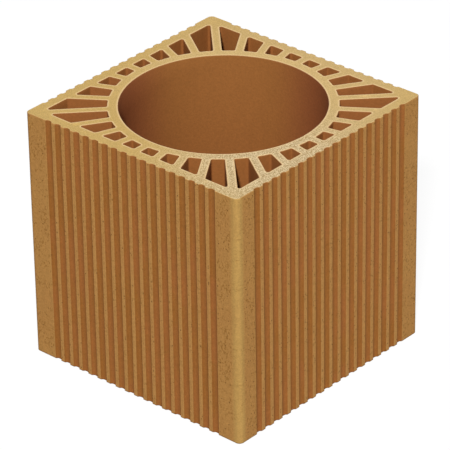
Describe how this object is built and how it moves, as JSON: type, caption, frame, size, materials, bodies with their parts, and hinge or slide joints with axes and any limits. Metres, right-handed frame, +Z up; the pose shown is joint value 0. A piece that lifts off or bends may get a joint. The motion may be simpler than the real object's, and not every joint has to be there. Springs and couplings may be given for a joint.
{
  "type": "hollow clay block",
  "caption": "Square fired-clay block, extruded, with a large round bore, radial webs with cells between them and fluted outer faces.",
  "frame": {"origin": "on the bore's axis at the lower bed face", "axes": "+Z up along the bore; X and Y square to the fluted faces, with the front face towards -Y"},
  "size_m": [0.24, 0.24, 0.238],
  "materials": {
    "fired_clay": "matte"
  },
  "bodies": {
    "root": {"clay_block": "fired_clay"}
  },
  "joints": []
}
